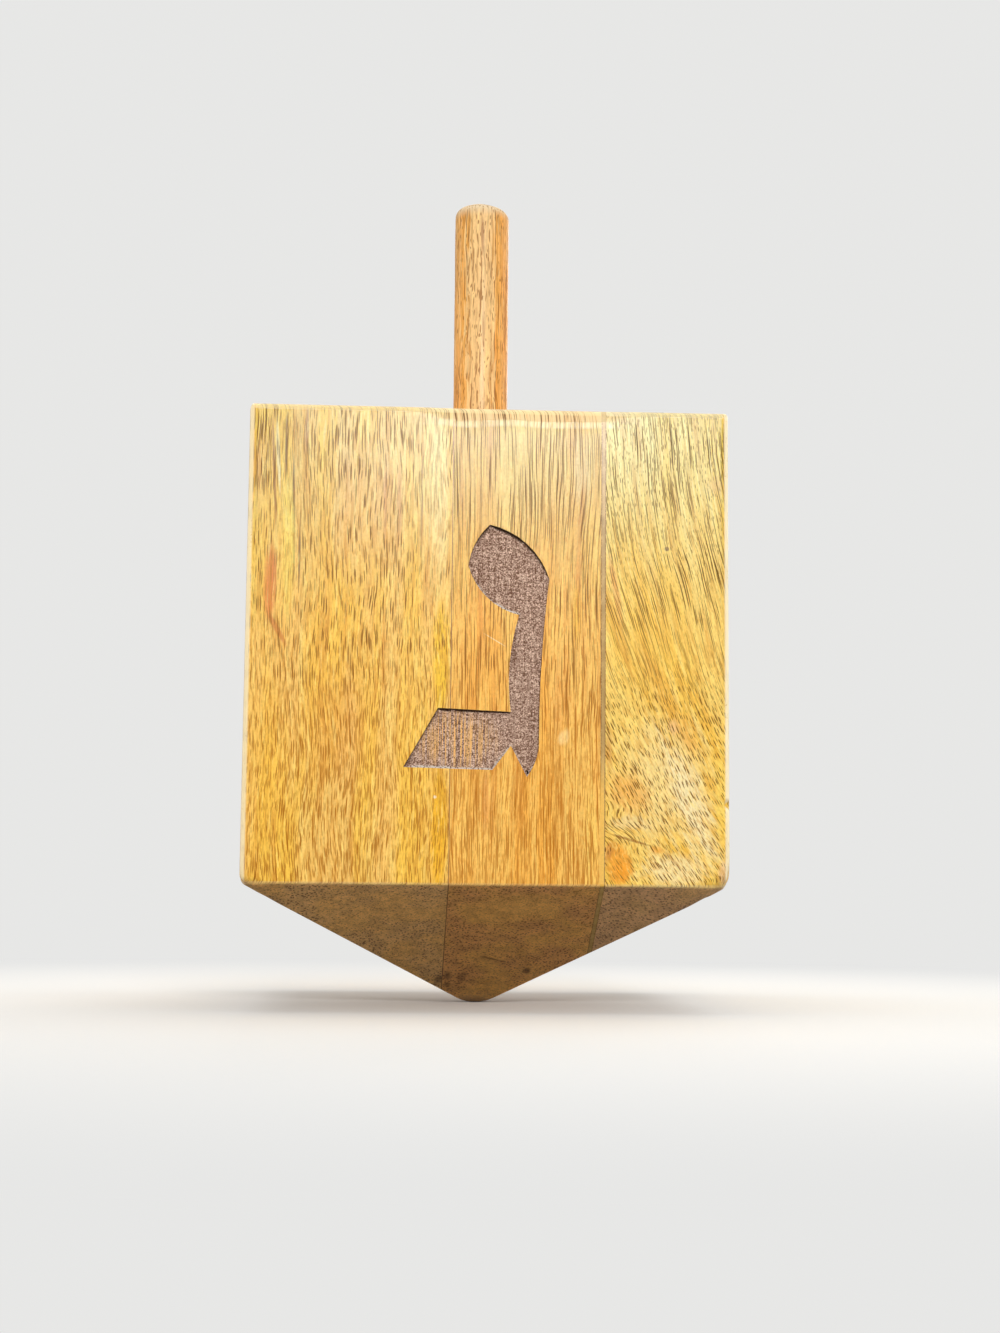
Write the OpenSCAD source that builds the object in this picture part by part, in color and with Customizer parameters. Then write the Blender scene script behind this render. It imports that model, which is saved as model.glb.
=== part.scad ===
// Wooden dreidel: a block glued up from three upright staves, cut to a four-sided point below,
// with a letter engraved in each face and a dowel handle glued into the top.
// The spin axis is Z, the origin is the lowest point of the rounded tip, and the front looks to -Y.

/* [Block] */
// Width of the block across its front face
block_w = 100; // [80:1:120]
// Depth of the block from front to back
block_d = 100; // [80:1:120]
// Height of the four lettered faces
block_h = 99; // [80:1:120]
// Rounding of the block's upright and top edges
edge_r = 1.2; // [0.5:0.1:2.5]

/* [Point] */
// Height of the four-sided point, from the tip to the lettered faces
point_h = 26; // [20:1:40]
// Rounding of the tip that the dreidel spins on
tip_r = 8.5; // [4:0.5:12]
// Rounding of the edge where a lettered face meets its facet
shoulder_r = 0.8; // [0.3:0.1:2]

/* [Staves] */
// Distance of the left glue joint from the spin axis
left_joint_x = 7.7; // [4:0.1:30]
// Distance of the right glue joint from the spin axis
right_joint_x = 23.7; // [4:0.1:30]
// Thickness of the glue in the left joint
left_glue_t = 0.2; // [0.1:0.1:1]
// Thickness of the glue in the right joint
right_glue_t = 1; // [0.1:0.1:2]

/* [Handle] */
// Diameter of the dowel
handle_d = 12.7; // [8:0.1:20]
// Length of the dowel above the block
handle_l = 60; // [30:1:90]
// Rounding of the dowel's free end
handle_end_r = 2; // [0.5:0.1:3.5]
// Length of the tenon that is glued into the block
tenon_l = 30; // [15:1:60]
// Width of the shoulder, all round, where the tenon is turned down from the dowel
tenon_shoulder = 0.85; // [0.6:0.05:1.5]
// Chamfer at the lower end of the tenon
tenon_chamfer = 1; // [0.5:0.1:2]
// Gap that the glue fills round the tenon and below it
glue_gap = 0.1; // [0.05:0.05:0.3]

/* [Letters] */
// Height of an engraved letter
letter_h = 52.2; // [30:0.1:70]
// Depth of the engraving
letter_depth = 0.9; // [0.4:0.1:2]
// How far the letters sit below the middle of their faces
letter_drop = 1.4; // [0:0.1:6]
// How far the front letter stands to the left of the middle
nun_offset = 2.4; // [0:0.1:6]

/* [Hidden] */

// How far a cut or a slab runs past what it cuts
overrun = 1;
// Straight pieces in one rounded corner
arc_steps = 8;
$fn = 96;

// Heights above the tip
block_top = point_h + block_h;
handle_top = block_top + handle_l;
tenon_bottom = block_top - tenon_l;
letter_middle = point_h + block_h / 2 - letter_drop;

// Radii of the handle
handle_r = handle_d / 2;
tenon_r = handle_r - tenon_shoulder;
bore_r = tenon_r + glue_gap;

// Letter outlines, anticlockwise, as [x, y, bulge] shares of the letter's height from its middle.
// The bulge belongs to the side that starts at that point: the rise of its arc over half its chord,
// positive where the side swells outwards, 0 where it is straight.
nun_shares = [
    [0.047, 0.500, 0.18],
    [-0.037, 0.334, 0.28],
    [0.166, 0.140, 0.11],
    [0.135, -0.245, 0],
    [-0.151, -0.233, 0],
    [-0.284, -0.467, 0],
    [0.065, -0.474, 0],
    [0.137, -0.378, 0],
    [0.201, -0.500, 0.12],
    [0.247, -0.384, -0.03],
    [0.284, 0.287, 0.27]
];
gimel_shares = [
    [0.020, 0.500, 0.18],
    [-0.064, 0.334, 0.28],
    [0.139, 0.140, 0.08],
    [0.118, -0.150, 0],
    [-0.260, -0.385, 0],
    [-0.170, -0.500, 0],
    [0.132, -0.310, 0],
    [0.205, -0.500, 0.12],
    [0.262, -0.384, -0.03],
    [0.257, 0.287, 0.27]
];
he_roof_shares = [
    [-0.345, 0.500, 0.10],
    [-0.375, 0.300, 0],
    [-0.320, 0.215, 0],
    [0.225, 0.205, 0.06],
    [0.215, -0.390, 0.10],
    [0.285, -0.500, 0.12],
    [0.335, -0.384, -0.03],
    [0.370, 0.270, 0.26],
    [0.255, 0.400, 0],
    [-0.260, 0.410, 0]
];
he_leg_shares = [
    [-0.315, 0.090, 0.06],
    [-0.325, -0.390, 0.10],
    [-0.255, -0.500, 0.12],
    [-0.205, -0.384, -0.03],
    [-0.195, 0.080, 0]
];
shin_shares = [
    [-0.360, 0.500, 0.18],
    [-0.470, 0.390, 0.12],
    [-0.400, 0.255, 0],
    [-0.375, -0.395, 0.20],
    [-0.270, -0.500, 0.04],
    [0.180, -0.470, 0.20],
    [0.290, -0.350, -0.03],
    [0.440, 0.255, 0.12],
    [0.485, 0.385, 0.18],
    [0.385, 0.500, 0.18],
    [0.275, 0.390, 0.12],
    [0.315, 0.255, -0.03],
    [0.165, -0.255, 0],
    [0.035, -0.255, 0],
    [0.055, 0.205, 0.12],
    [0.105, 0.320, 0.18],
    [0.005, 0.430, 0.18],
    [-0.105, 0.320, 0.12],
    [-0.065, 0.205, 0],
    [-0.085, -0.255, 0],
    [-0.255, -0.265, 0],
    [-0.285, 0.255, 0.12],
    [-0.250, 0.390, 0.18]
];

// Each face's letter: its outlines, its offset to the left and its distance from the spin axis,
// clockwise from the front as seen from above
faces = [
    [[nun_shares], nun_offset, block_d / 2],
    [[gimel_shares], 0, block_w / 2],
    [[he_roof_shares, he_leg_shares], 0, block_d / 2],
    [[shin_shares], 0, block_w / 2]
];

function unit(v) = v / norm(v);

// Points of an arc about a centre
function arc(centre, r, from_angle, turn) = [
    for (i = [0 : arc_steps])
        let (a = from_angle + turn * i / arc_steps)
        centre + r * [cos(a), sin(a)]
];

// Anticlockwise outline whose corners are rounded, each to its own radius
function rounded(corners, radii) = [
    for (i = [0 : len(corners) - 1])
        let (
            n = len(corners),
            corner = corners[i],
            back = unit(corners[(i + n - 1) % n] - corner),
            ahead = unit(corners[(i + 1) % n] - corner),
            half_angle = acos(back * ahead) / 2,
            centre = corner + unit(back + ahead) * radii[i] / sin(half_angle)
        )
        each arc(centre, radii[i], atan2(back.x, -back.y), 180 - 2 * half_angle)
];

// Points of one letter side, from its start up to its end, with its bulge
function side_points(from, to, bulge) =
    bulge == 0 ? [from] : let (
        turn = 4 * atan(bulge),
        chord = to - from,
        r = norm(chord) / (2 * sin(turn / 2)),
        centre = (from + to) / 2 + r * cos(turn / 2) * unit([-chord.y, chord.x]),
        start = from - centre
    ) [
        for (i = [0 : arc_steps - 1])
            let (a = turn * i / arc_steps)
            centre + [start.x * cos(a) - start.y * sin(a), start.x * sin(a) + start.y * cos(a)]
    ];

function letter_points(shares) = [
    for (i = [0 : len(shares) - 1])
        let (row = shares[i], next = shares[(i + 1) % len(shares)])
        each side_points(letter_h * [row.x, row.y], letter_h * [next.x, next.y], row.z)
];

// Height of the sharp point whose facets, once rounded to tip_r, just reach down to zero
function sharp_z(half_w) =
    let (
        rise = point_h - tip_r,
        slope = atan2(rise, half_w) - acos(tip_r / norm([half_w, rise])) + 90
    )
    tip_r - tip_r / cos(slope);

// Outline of the block and its point, seen square to a face
function side_outline(w) = rounded(
    [
        [0, sharp_z(w / 2)],
        [w / 2, point_h],
        [w / 2, block_top],
        [-w / 2, block_top],
        [-w / 2, point_h]
    ],
    [tip_r, shoulder_r, edge_r, edge_r, shoulder_r]
);

// Outline of the block seen along the spin axis
function top_outline() = rounded(
    [
        [block_w, -block_d] / 2,
        [block_w, block_d] / 2,
        [-block_w, block_d] / 2,
        [-block_w, -block_d] / 2
    ],
    [edge_r, edge_r, edge_r, edge_r]
);

module upright_prism(outline, length) {
    rotate([90, 0, 0])
        linear_extrude(length + 2 * overrun, center = true)
            polygon(outline);
}

// The whole block with its point, before the letters and the handle's bore
module block_form() {
    intersection() {
        upright_prism(side_outline(block_w), block_d);
        rotate([0, 0, 90])
            upright_prism(side_outline(block_d), block_w);
        translate([0, 0, -overrun])
            linear_extrude(block_top + 2 * overrun)
                polygon(top_outline());
    }
}

module letter_pocket(outlines) {
    rotate([90, 0, 0])
        translate([0, 0, -letter_depth])
            linear_extrude(letter_depth + overrun)
                for (shares = outlines)
                    polygon(letter_points(shares));
}

module letters() {
    for (i = [0 : len(faces) - 1])
        rotate([0, 0, -90 * i])
            translate([-faces[i][1], -faces[i][2], letter_middle])
                letter_pocket(faces[i][0]);
}

module handle_bore() {
    translate([0, 0, tenon_bottom - glue_gap])
        cylinder(h = tenon_l + glue_gap + overrun, r = bore_r);
}

// The part of the finished block between two planes across its width
module block_slice(x_from, x_to) {
    difference() {
        intersection() {
            block_form();
            translate([x_from, -block_d / 2 - overrun, -overrun])
                cube([x_to - x_from, block_d + 2 * overrun, block_top + 2 * overrun]);
        }
        letters();
        handle_bore();
    }
}

module left_stave() {
    color("#dca658")
        block_slice(-block_w / 2 - overrun, -left_joint_x - left_glue_t / 2);
}

module middle_stave() {
    color("#dea45e")
        block_slice(-left_joint_x + left_glue_t / 2, right_joint_x - right_glue_t / 2);
}

module right_stave() {
    color("#e0b468")
        block_slice(right_joint_x + right_glue_t / 2, block_w / 2 + overrun);
}

module left_glue_line() {
    color("#7a5426")
        block_slice(-left_joint_x - left_glue_t / 2, -left_joint_x + left_glue_t / 2);
}

module right_glue_line() {
    color("#a88a5c")
        block_slice(right_joint_x - right_glue_t / 2, right_joint_x + right_glue_t / 2);
}

// One dowel: the handle with its rounded end, and the tenon whose shoulder seats on the block
module handle_dowel() {
    end_centre = [handle_r - handle_end_r, handle_top - handle_end_r];
    color("#d8964c")
        rotate_extrude()
            polygon(concat(
                [
                    [0, tenon_bottom],
                    [tenon_r - tenon_chamfer, tenon_bottom],
                    [tenon_r, tenon_bottom + tenon_chamfer],
                    [tenon_r, block_top],
                    [handle_r, block_top]
                ],
                arc(end_centre, handle_end_r, 0, 90),
                [[0, handle_top]]
            ));
}

left_stave();
middle_stave();
right_stave();
left_glue_line();
right_glue_line();
handle_dowel();
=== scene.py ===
import math

import bmesh
import bpy
from mathutils import Matrix, Vector, noise


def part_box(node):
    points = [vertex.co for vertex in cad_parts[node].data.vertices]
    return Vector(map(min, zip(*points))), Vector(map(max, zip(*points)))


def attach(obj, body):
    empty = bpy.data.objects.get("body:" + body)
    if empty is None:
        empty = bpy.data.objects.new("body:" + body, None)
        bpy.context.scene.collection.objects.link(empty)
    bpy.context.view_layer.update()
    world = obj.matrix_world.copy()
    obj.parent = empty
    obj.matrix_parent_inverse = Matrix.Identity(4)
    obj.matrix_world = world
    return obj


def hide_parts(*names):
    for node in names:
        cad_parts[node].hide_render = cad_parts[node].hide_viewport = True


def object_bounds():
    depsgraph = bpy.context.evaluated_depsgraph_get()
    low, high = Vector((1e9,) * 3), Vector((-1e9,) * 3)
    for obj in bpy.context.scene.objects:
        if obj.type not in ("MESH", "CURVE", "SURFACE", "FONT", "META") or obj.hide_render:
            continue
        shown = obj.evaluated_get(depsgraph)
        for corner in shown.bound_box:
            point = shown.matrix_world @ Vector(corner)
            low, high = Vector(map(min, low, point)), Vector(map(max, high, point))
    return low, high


MM = 0.001

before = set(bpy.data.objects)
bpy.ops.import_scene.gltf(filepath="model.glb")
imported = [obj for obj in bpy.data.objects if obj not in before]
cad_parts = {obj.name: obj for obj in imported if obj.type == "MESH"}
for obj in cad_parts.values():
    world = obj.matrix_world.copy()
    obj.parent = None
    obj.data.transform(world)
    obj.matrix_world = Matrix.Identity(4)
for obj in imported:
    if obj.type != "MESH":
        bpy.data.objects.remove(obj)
cad_low, cad_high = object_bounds()


def middle_x(node):
    low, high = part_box(node)
    return (low.x + high.x) / 2.0 / MM


# Sizes of the part, in millimetres
HALF = cad_high.x / MM
TOP_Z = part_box("middle_stave")[1].z / MM
HANDLE_TOP = cad_high.z / MM
TENON_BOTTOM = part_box("handle_dowel")[0].z / MM
HANDLE_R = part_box("handle_dowel")[1].x / MM
LEFT_JOINT_X = middle_x("left_glue_line")
RIGHT_JOINT_X = middle_x("right_glue_line")
SHOULDER_Z = 26.0
LETTER_DEPTH = 0.9
TENON_SHOULDER = 0.85
TENON_R = HANDLE_R - TENON_SHOULDER
TENON_CHAMFER = 1.0
HANDLE_END_R = 2.0

# Photograph's camera, fitted to the block's corners, seams and tip
IMAGE_LONG_SIDE = 1333.0
FOCAL_PX = 2000.0
SENSOR_MM = 36.0
CAMERA_AT = Vector((-20.58, -457.86, 23.64))
CAMERA_FORWARD = Vector((0.0558, 0.9919, 0.1143))
CAMERA_UP = Vector((-0.0155, -0.1136, 0.9934))


def linear(red, green, blue):
    """Linear colour from 0 to 255 display values."""
    out = []
    for value in (red, green, blue):
        c = value / 255.0
        out.append(c / 12.92 if c <= 0.04045 else ((c + 0.055) / 1.055) ** 2.4)
    return (*out, 1.0)


# Camera, light and stage

AIM = Vector((0.0, 0.0, 0.085))
# Each lamp: its name, place and size in metres, power in watts and colour
LAMPS = [
    ("key", (0.07, -0.92, 0.36), (0.30, 0.14), 4.9, (1.0, 0.985, 0.96)),
    ("right fill", (0.75, -0.95, 0.06), (0.60, 0.60), 1.8, (1.0, 0.985, 0.96)),
    ("left fill", (-0.75, -0.95, 0.10), (0.60, 0.60), 2.5, (1.0, 0.985, 0.96)),
    ("top", (0.0, 0.05, 1.05), (0.90, 0.70), 2.9, (1.0, 0.99, 0.98)),
    ("back", (0.25, 1.00, 0.45), (0.80, 0.60), 6.5, (1.0, 0.98, 0.95)),
    ("right side", (1.00, 0.30, 0.30), (0.60, 0.60), 3.0, (1.0, 0.975, 0.94)),
    ("left side", (-1.00, 0.30, 0.30), (0.60, 0.60), 2.2, (1.0, 0.975, 0.94)),
]
BACKGROUND = (0.80, 0.80, 0.79, 1.0)
FLOOR_PALE = (0.84, 0.84, 0.83, 1.0)
FLOOR_BOUNCE = (0.25, 0.24, 0.23, 1.0)
AMBIENT = (0.48, 0.475, 0.46, 1.0)
# Radius of the floor in metres, and the distances in millimetres over which it turns into the background
FLOOR_R = 6.0
FLOOR_NEAR = 80.0
FLOOR_FAR = 300.0


def make_camera():
    forward = CAMERA_FORWARD.normalized()
    up = (CAMERA_UP - forward * CAMERA_UP.dot(forward)).normalized()
    right = forward.cross(up)
    data = bpy.data.cameras.new("camera")
    data.sensor_width = SENSOR_MM
    data.lens = FOCAL_PX / IMAGE_LONG_SIDE * SENSOR_MM
    data.clip_start = 0.01
    camera = bpy.data.objects.new("camera", data)
    turn = Matrix((right, up, -forward)).transposed().to_4x4()
    camera.matrix_world = Matrix.Translation(CAMERA_AT * MM) @ turn
    bpy.context.scene.collection.objects.link(camera)
    bpy.context.scene.camera = camera


def make_lamp(name, at, size, power, colour):
    data = bpy.data.lights.new(name, "AREA")
    data.shape = "RECTANGLE"
    data.size, data.size_y = size
    data.energy = power
    data.color = colour
    lamp = bpy.data.objects.new(name, data)
    turn = (AIM - Vector(at)).to_track_quat("-Z", "Y").to_matrix().to_4x4()
    lamp.matrix_world = Matrix.Translation(Vector(at)) @ turn
    bpy.context.scene.collection.objects.link(lamp)


# Shader graphs written as sums


class Val:
    """A number on the surface, with ordinary arithmetic."""

    def __init__(self, graph, socket):
        self.graph = graph
        self.socket = socket

    def __add__(self, other):
        return self.graph.math("ADD", self, other)

    def __sub__(self, other):
        return self.graph.math("SUBTRACT", self, other)

    def __mul__(self, other):
        return self.graph.math("MULTIPLY", self, other)

    def __truediv__(self, other):
        return self.graph.math("DIVIDE", self, other)

    def __rsub__(self, other):
        return self.graph.math("SUBTRACT", other, self)

    __radd__ = __add__
    __rmul__ = __mul__


class Graph:
    """Adds shader nodes to a material's or a world's tree and links them."""

    def __init__(self, owner):
        owner.use_nodes = True
        self.owner = owner
        self.tree = owner.node_tree
        self.tree.nodes.clear()

    def feed(self, socket, value):
        if isinstance(value, Val):
            value = value.socket
        if isinstance(value, bpy.types.NodeSocket):
            self.tree.links.new(value, socket)
        else:
            socket.default_value = value

    def node(self, kind, inputs, **settings):
        made = self.tree.nodes.new("ShaderNode" + kind)
        for key, value in settings.items():
            setattr(made, key, value)
        for key, value in inputs.items():
            self.feed(made.inputs[key], value)
        return made

    def math(self, operation, a, b=0.0):
        made = self.node("Math", {0: a, 1: b}, operation=operation)
        return Val(self, made.outputs[0])

    def absolute(self, value):
        return self.math("ABSOLUTE", value)

    def least(self, a, b):
        return self.math("MINIMUM", a, b)

    def most(self, a, b):
        return self.math("MAXIMUM", a, b)

    def ease(self, value, low, high):
        """0 at low and 1 at high, eased; low may be above high."""
        made = self.node(
            "MapRange",
            {"Value": value, "From Min": low, "From Max": high},
            interpolation_type="SMOOTHSTEP",
        )
        return Val(self, made.outputs["Result"])

    def position(self):
        """The point on the piece, in millimetres, as x, y and z."""
        where = self.node("TexCoord", {})
        scaled = self.node("VectorMath", {0: where.outputs["Object"], "Scale": 1.0 / MM}, operation="SCALE")
        parts = self.node("SeparateXYZ", {0: scaled.outputs[0]})
        return [Val(self, parts.outputs[i]) for i in range(3)]

    def attribute(self, name):
        """A number that the mesh carries at its points."""
        return Val(self, self.node("Attribute", {}, attribute_name=name).outputs["Fac"])

    def pictured(self):
        """1 for what the camera sees, also by reflection or through glass, and 0 for light on the object."""
        rays = self.node("LightPath", {})
        seen = [Val(self, rays.outputs[f"Is {kind} Ray"]) for kind in ("Camera", "Glossy", "Transmission")]
        return self.most(seen[0], self.most(seen[1], seen[2]))

    def vector(self, x, y, z):
        return self.node("CombineXYZ", {0: x, 1: y, 2: z}).outputs[0]

    def noise_node(self, at, detail, rough):
        return self.node("TexNoise", {"Vector": at, "Scale": 1.0, "Detail": detail, "Roughness": rough})

    def noise(self, at, detail=2.0, rough=0.5):
        return Val(self, self.noise_node(at, detail, rough).outputs["Fac"])

    def wander(self, at, detail=2.0):
        """Two independent numbers that drift about 0."""
        parts = self.node("SeparateColor", {0: self.noise_node(at, detail, 0.5).outputs["Color"]})
        return Val(self, parts.outputs[0]) - 0.5, Val(self, parts.outputs[1]) - 0.5

    def cells(self, at, space="3D"):
        """Distance to the nearest cell point, and two numbers that each cell has for itself."""
        made = self.node("TexVoronoi", {"Vector": at, "Scale": 1.0}, voronoi_dimensions=space)
        own = self.node("SeparateColor", {0: made.outputs["Color"]})
        return Val(self, made.outputs["Distance"]), Val(self, own.outputs[0]), Val(self, own.outputs[1])

    def mix(self, share, a, b):
        made = self.node("Mix", {0: share, 6: a, 7: b}, data_type="RGBA")
        return made.outputs[2]

    def scale_colour(self, colour, value):
        """A colour made darker or lighter by a number."""
        if isinstance(colour, tuple):
            colour = colour[:3]
        return self.node("VectorMath", {0: colour, "Scale": value}, operation="SCALE").outputs[0]

    def tint(self, colour, by):
        """A colour multiplied by another."""
        return self.node("VectorMath", {0: colour, 1: by}, operation="MULTIPLY").outputs[0]

    def blob(self, x, z, wobble, at, half, slant=0.0, soft=0.6):
        """Soft-edged oval patch: 1 in its middle and 0 outside. Slant is its lean, in x per z."""
        across = (x - at[0] - slant * (z - at[1])) / half[0]
        along = (z - at[1]) / half[1]
        far = self.math("SQRT", across * across + along * along) + wobble
        return self.ease(far, 1.0, 1.0 - soft)

    def finish(self, colour, roughness, height, depth, varnish):
        """Ends the material: a rough, bumpy surface under a smoother coat of varnish."""
        bump = self.node("Bump", {"Height": height, "Strength": 1.0, "Distance": depth})
        surface = self.node(
            "BsdfPrincipled",
            {
                "Base Color": colour,
                "Roughness": roughness,
                "Normal": bump.outputs[0],
                "Specular IOR Level": SPECULAR,
                "Coat Weight": varnish,
                "Coat Roughness": COAT_ROUGHNESS,
            },
        )
        self.node("OutputMaterial", {"Surface": surface.outputs[0]})
        return self.owner


def make_world():
    world = bpy.data.worlds.new("studio")
    g = Graph(world)
    light = g.node("Background", {"Color": AMBIENT})
    shown = g.node("Background", {"Color": BACKGROUND})
    choose = g.node("MixShader", {0: g.pictured(), 1: light.outputs[0], 2: shown.outputs[0]})
    g.node("OutputWorld", {"Surface": choose.outputs[0]})
    bpy.context.scene.world = world


def floor_material():
    g = Graph(bpy.data.materials.new("floor_paper"))
    x, y, _ = g.position()
    seen = g.pictured()
    fibre = g.noise(g.vector(x * 0.6, y * 0.6, 0.0), detail=3.0)
    pale = g.scale_colour(FLOOR_PALE, 0.985 + 0.03 * fibre)
    paper = g.node("BsdfDiffuse", {"Color": g.mix(seen, FLOOR_BOUNCE, pale)})
    beyond = g.node("Emission", {"Color": BACKGROUND, "Strength": 1.0})
    far = g.ease(g.math("SQRT", x * x + y * y), FLOOR_NEAR, FLOOR_FAR)
    join = g.node("MixShader", {0: far * seen, 1: paper.outputs[0], 2: beyond.outputs[0]})
    g.node("OutputMaterial", {"Surface": join.outputs[0]})
    return g.owner


def make_floor():
    bm = bmesh.new()
    bmesh.ops.create_circle(bm, cap_ends=True, segments=96, radius=FLOOR_R)
    mesh = bpy.data.meshes.new("floor")
    bm.to_mesh(mesh)
    bm.free()
    floor = bpy.data.objects.new("floor", mesh)
    bpy.context.scene.collection.objects.link(floor)
    mesh.materials.append(floor_material())


# Wood

COAT_ROUGHNESS = 0.20
SPECULAR = 0.15
STAVE_VARNISH = 0.34
GLUE_VARNISH = 0.4
HANDLE_VARNISH = 0.15
# Depth of the bumps, in metres
STAVE_BUMP = 0.00010
GLUE_BUMP = 0.00006
HANDLE_BUMP = 0.00008
# Heights between which the pores turn darker and the front's upper tone, a painted shade and haze, comes in
PORE_HEIGHTS = (50.0, 85.0)
PAINTED_LIGHT_HEIGHTS = (74.0, 122.0)
ENGRAVED = linear(176, 145, 127)
ENGRAVED_LIGHT = linear(230, 201, 180)
ENGRAVED_DARK = linear(112, 80, 64)
ENGRAVED_GOLD = linear(234, 182, 114)
ASH_AND_HIGHLIGHT = linear(212, 204, 196)
CHAR_AND_SHADOW = linear(46, 28, 20)
SANDED = linear(242, 218, 170)


def fibres(g, x, y, z, look):
    """Place of a point across the grain, sideways and in depth.
    The fibres lean, dive and wander on their way down."""
    drop = TOP_Z - z
    lean, dive = look["lean"], look["dive"]
    u = x - drop * (lean[0] + lean[1] * drop)
    deep_drop = g.most(drop - dive[1], 0.0)
    v = y - drop * dive[0] - deep_drop * deep_drop * dive[2]
    for wide, long, amount in look["wander"]:
        across, deep = g.wander(g.vector(x / wide + look["seed"], y / wide, z / long))
        u = u + across * amount
        v = v + deep * amount * look["depth"]
    for at, half, turn in look["swirls"]:
        u = u + turn * (z - at[1]) * g.blob(x, z, 0.0, at, half, soft=1.0)
    return u, v


def vessels(g, u, v, z, width, length, radius, seed, crowd=1.0):
    """Open pores cut along their length: crisp dashes along the grain, dots on the end grain."""
    distance, own, _ = g.cells(g.vector(u / width + seed, v / width, z / length))
    reach = radius * (0.75 + 0.45 * own) * crowd
    return g.ease(distance, reach, reach * 0.55)


def dashes(g, along, z, width, length, radius, seed, crowd):
    """Pores of about one length, some faint and some dark, and the stained wood round them.
    They are spread over the faces by a place along the face and the height."""
    distance, own, other = g.cells(g.vector(along / width + seed, z / length, 0.0), space="2D")
    reach = radius * (0.65 + 0.70 * own) * crowd
    depth = 0.55 + 0.45 * other
    pore = g.ease(distance, reach, reach * 0.70) * depth
    halo = g.ease(distance, reach * 1.7, reach * 0.9) * depth
    return pore, halo


def engraving(g, x, y, z):
    """Where the surface is the wall of an engraved letter, and where it is the letter's floor."""
    body = g.ease(z, SHOULDER_Z + 3.0, SHOULDER_Z + 4.0) * g.ease(z, TOP_Z - 8.0, TOP_Z - 9.0)
    deep = []
    for out, along in ((y, x), (x, y)):
        inset = HALF - g.absolute(out)
        deep.append(inset * g.ease(g.absolute(along), HALF - 4.0, HALF - 5.0) * g.ease(inset, 3.0, 2.0))
    depth = g.most(deep[0], deep[1])
    wall = g.ease(depth, 0.16, 0.24) * body
    floor = g.ease(depth, LETTER_DEPTH - 0.2, LETTER_DEPTH - 0.1) * body
    return wall, floor


def engraved(g, x, y, z, colour, dark):
    """The burnt letters over a wood colour, how far the point is on a letter's floor, and the burn's dots."""
    wall, floor = engraving(g, x, y, z)
    dots = g.noise(g.vector(x * 3.9, y * 3.9, z * 3.9), detail=1.0)
    rows = g.noise(g.vector(x * 0.5, y * 0.5, z * 2.7), detail=1.0)
    lines = g.noise(g.vector(x * 2.7, y * 2.7, z * 0.06), detail=1.0)
    tone = dots * 0.62 + rows * 0.16 + lines * 0.22
    burnt = g.mix(g.ease(tone, 0.41, 0.52), ENGRAVED_DARK, ENGRAVED)
    burnt = g.mix(g.ease(tone, 0.52, 0.63), burnt, ENGRAVED_LIGHT)
    burnt = g.mix(g.most(dark * 0.25, g.ease(lines, 0.59, 0.66) * 0.40), burnt, ENGRAVED_DARK)
    foot = g.blob(x, z, 0.0, (-6.5, 55.5), (10.5, 8.0), soft=0.7) * g.ease(y, -30.0, -45.0)
    gold = g.noise(g.vector(x * 3.3, y * 3.3, z * 0.05), detail=0.0)
    burnt = g.mix(g.ease(gold, 0.47, 0.57) * g.ease(dots, 0.28, 0.42) * foot, burnt, ENGRAVED_GOLD)
    rim = g.attribute("rim")
    # Pale ash along a letter floor's lower edges, partly a painted highlight, and char along its upper edges,
    # partly a painted shadow under the edge
    burnt = g.mix(g.ease(rim, 0.15, 0.6) * g.ease(dots, 0.36, 0.52), burnt, ASH_AND_HIGHLIGHT)
    burnt = g.mix(g.ease(rim, -0.15, -0.6) * 0.9, burnt, CHAR_AND_SHADOW)
    colour = g.mix(wall, colour, CHAR_AND_SHADOW)
    return g.mix(floor, colour, burnt), floor, dots


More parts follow.
